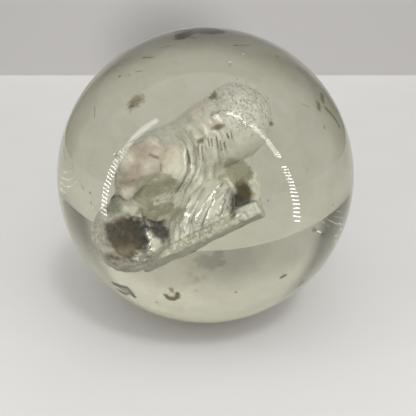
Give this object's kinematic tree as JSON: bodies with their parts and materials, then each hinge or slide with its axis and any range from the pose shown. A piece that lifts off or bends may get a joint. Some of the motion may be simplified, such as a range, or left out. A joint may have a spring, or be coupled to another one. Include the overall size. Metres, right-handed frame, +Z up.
{
  "type": "glass marble",
  "caption": "Solid clear glass ball with a small ridged clay animal, lying on a slab, sealed at its centre.",
  "frame": {"origin": "the centre of the glass ball", "axes": "+Z up and -Y to the front, the side on which the figure's flank shows; +X runs to the figure's rump"},
  "size_m": [0.0444, 0.0444, 0.0444],
  "materials": {
    "glass": "polished, faintly grey-green, with small pits and chips",
    "clay": "unglazed white clay under a thin silvery film of trapped air, stained tan and brown"
  },
  "bodies": {
    "root": {"glass_ball": "glass", "clay_figure": "clay"}
  },
  "joints": []
}
